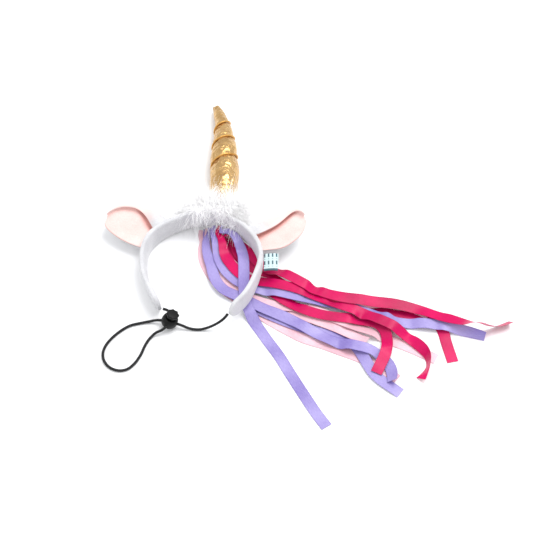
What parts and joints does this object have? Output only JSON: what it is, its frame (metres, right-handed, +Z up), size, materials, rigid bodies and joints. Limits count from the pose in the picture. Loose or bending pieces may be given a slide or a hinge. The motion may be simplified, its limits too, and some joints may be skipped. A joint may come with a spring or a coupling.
{
  "type": "dog unicorn headband",
  "caption": "Padded plush headband for a dog with a stuffed gold unicorn horn, feather trim, ears, a satin ribbon mane and an elastic chin cord with a cord lock.",
  "frame": {"origin": "on the table under the middle of the box of the headband with its mane, without the chin cord and its lock", "axes": "+Z up from the table, +Y the way the horn points, +X the way the mane trails"},
  "size_m": [0.4026, 0.39, 0.0345],
  "materials": {
    "white_plush": "short pile, matt",
    "pink_plush": "short pile, matt",
    "gold_lame": "crinkled metallic cloth, shiny",
    "gold_cord": "metallic cord",
    "white_down": "fluffy, matt",
    "magenta_satin": "satin",
    "pink_satin": "satin",
    "lavender_satin": "satin",
    "woven_label": "woven, matt",
    "black_elastic": "braided, matt",
    "black_plastic": "moulded, satin"
  },
  "bodies": {
    "headband": {"headband_strip": "white_plush", "horn": "gold_lame", "horn_cord": "gold_cord", "feather_trim": "white_down", "ear_left_lining": "pink_plush", "ear_left_back": "white_plush", "ear_right_lining": "pink_plush", "ear_right_back": "white_plush", "side_label": "woven_label", "ribbon_pink_front": "pink_satin", "ribbon_lavender_low": "lavender_satin", "ribbon_pink_salmon": "pink_satin", "ribbon_pink_broad": "pink_satin", "ribbon_lavender_twist": "lavender_satin", "ribbon_magenta_turn": "magenta_satin", "ribbon_magenta_far": "magenta_satin", "ribbon_pink_arc": "pink_satin", "ribbon_lavender_long": "lavender_satin", "ribbon_magenta_curl": "magenta_satin", "ribbon_magenta_top": "magenta_satin", "ribbon_lavender_free": "lavender_satin", "elastic_cord": "black_elastic", "cord_lock_body": "black_plastic"},
    "lock_button": {"cord_lock_button": "black_plastic"}
  },
  "joints": [
    {"name": "lock_button_press", "type": "slide", "parent": "headband", "child": "lock_button", "axis": [-0.34, -0.1, -0.9351], "range_m": [0, 0.0024], "stiffness_N_per_m": 400, "springref_m": -0.003}
  ]
}
